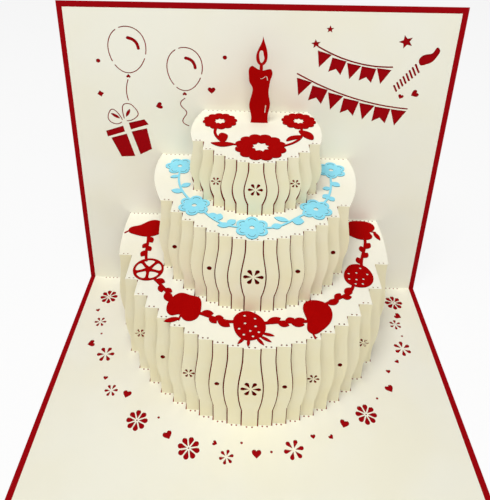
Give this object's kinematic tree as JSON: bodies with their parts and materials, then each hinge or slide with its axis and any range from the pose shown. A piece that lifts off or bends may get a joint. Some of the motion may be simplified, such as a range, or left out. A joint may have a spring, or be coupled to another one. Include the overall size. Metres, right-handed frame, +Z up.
{
  "type": "pop up card",
  "caption": "Open pop up card: a cut and folded sheet stands up as a tiered cake inside a plain card cover, with cut flower and fruit trims and a paper candle on top.",
  "frame": {"origin": "middle of the floor panel's underside, with the card open at a right angle", "axes": "+X across the card, +Y towards the spine fold and the standing back panel, +Z up"},
  "size_m": [0.17, 0.15, 0.15],
  "materials": {
    "cover_card": "matte",
    "cream_card": "matte",
    "red_paper": "matte",
    "blue_paper": "matte"
  },
  "bodies": {
    "root": {"cover": "cover_card", "popup_sheet": "cream_card", "upper_garland": "red_paper", "middle_garland": "blue_paper", "lower_garland": "red_paper", "candle": "red_paper"}
  },
  "joints": []
}
